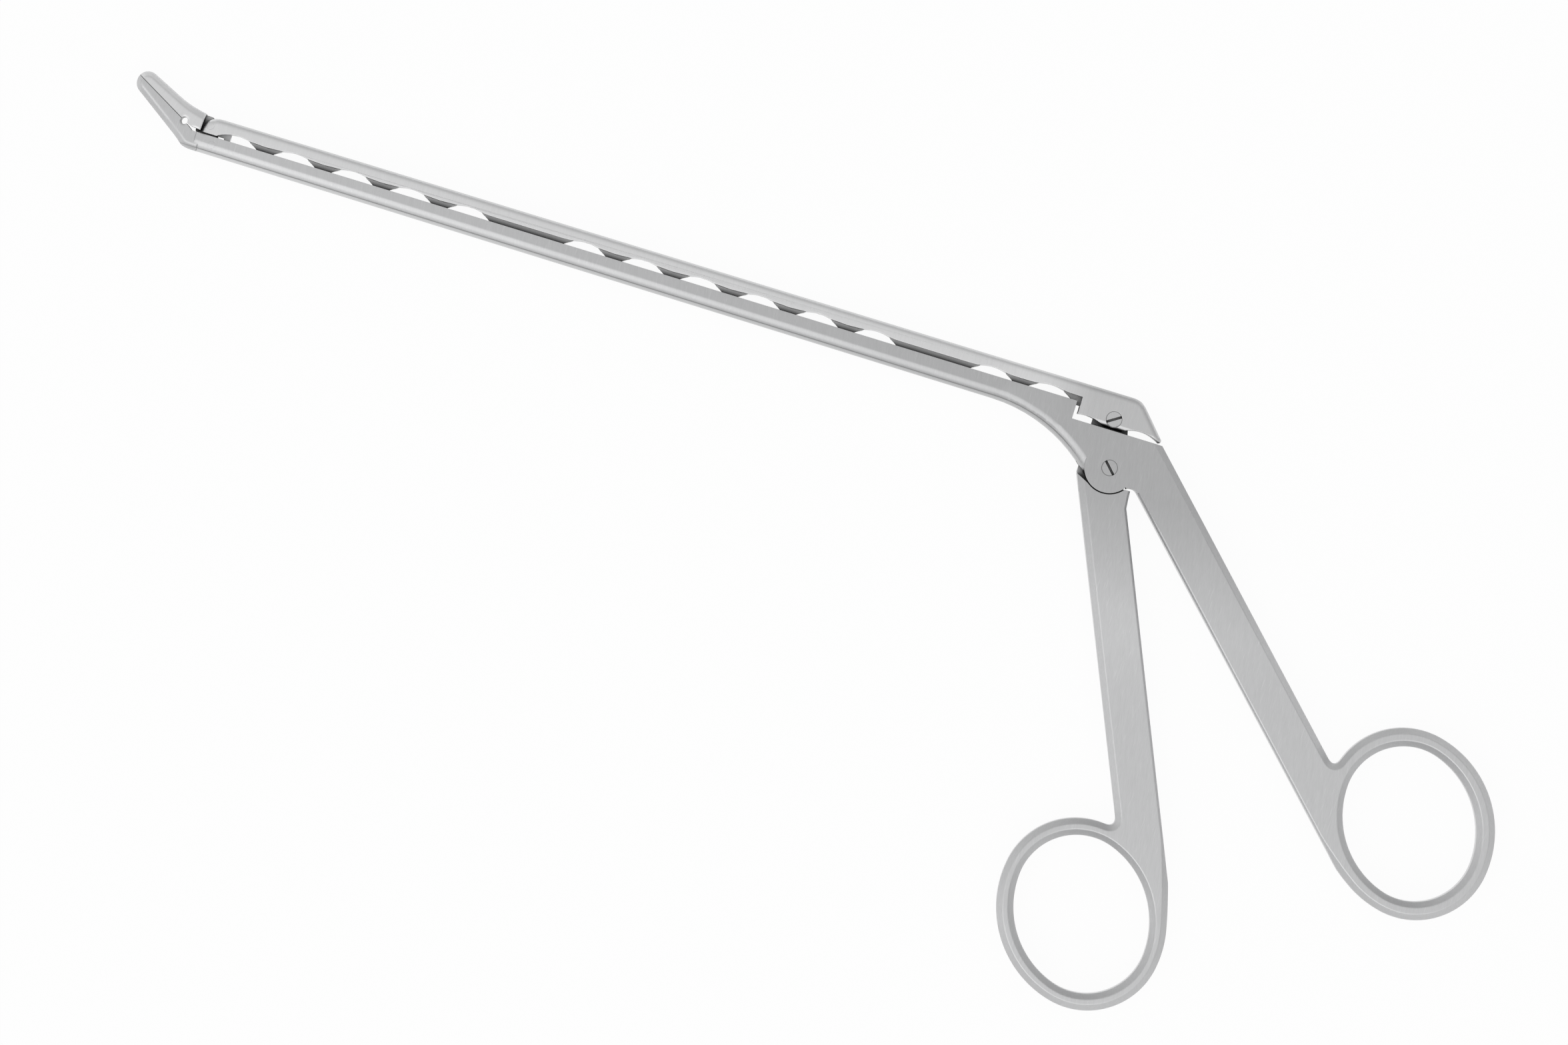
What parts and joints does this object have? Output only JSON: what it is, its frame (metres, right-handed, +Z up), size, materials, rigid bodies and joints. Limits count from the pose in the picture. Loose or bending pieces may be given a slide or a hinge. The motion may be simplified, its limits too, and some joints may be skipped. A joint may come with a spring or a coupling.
{
  "type": "rongeur",
  "caption": "Up-angled disc rongeur with cup jaws, a sliding upper shaft with cleaning windows, and finger ring handles; closing the handles shuts the jaws.",
  "frame": {"origin": "on the axis of the main pivot screw, in the plane of the side on which the instrument lies", "axes": "+X along the shafts from the jaws to the back of the body, +Y from the handles towards the sliding shaft, +Z up through the thickness"},
  "size_m": [0.2536, 0.1045, 0.0066],
  "materials": {
    "forged_steel": "satin, fine brushed stainless steel",
    "shaft_steel": "satin, fine cross-brushed stainless steel",
    "jaw_steel": "satin stainless steel, ground rims",
    "screw_steel": "turned stainless steel",
    "pin_steel": "ground flush with the shaft"
  },
  "bodies": {
    "frame": {"lower_shaft": "forged_steel", "pivot_screw": "screw_steel", "jaw_pivot_pin": "pin_steel"},
    "slider": {"sliding_shaft": "shaft_steel", "drive_screw": "screw_steel", "jaw_link_pin": "pin_steel"},
    "handle": {"finger_handle": "forged_steel"},
    "jaw": {"upper_jaw": "jaw_steel"}
  },
  "joints": [
    {"name": "handle_hinge", "type": "hinge", "parent": "frame", "child": "handle", "pos_m": [0, 0, 0.0033], "axis": [0, 0, -1], "range_deg": [0, 15.34]},
    {"name": "shaft_slide", "type": "slide", "parent": "frame", "child": "slider", "axis": [1, 0, 0], "range_m": [0, 0.00215]},
    {"name": "jaw_hinge", "type": "hinge", "parent": "frame", "child": "jaw", "pos_m": [-0.15865, 0.00775, 0.0033], "axis": [0, 0, -1], "range_deg": [0, 40]}
  ],
  "couplings": [
    {"joint": "shaft_slide", "follows": "handle_hinge", "m_per_rad": 0.0080163},
    {"joint": "jaw_hinge", "follows": "handle_hinge", "ratio": 2.6059}
  ]
}
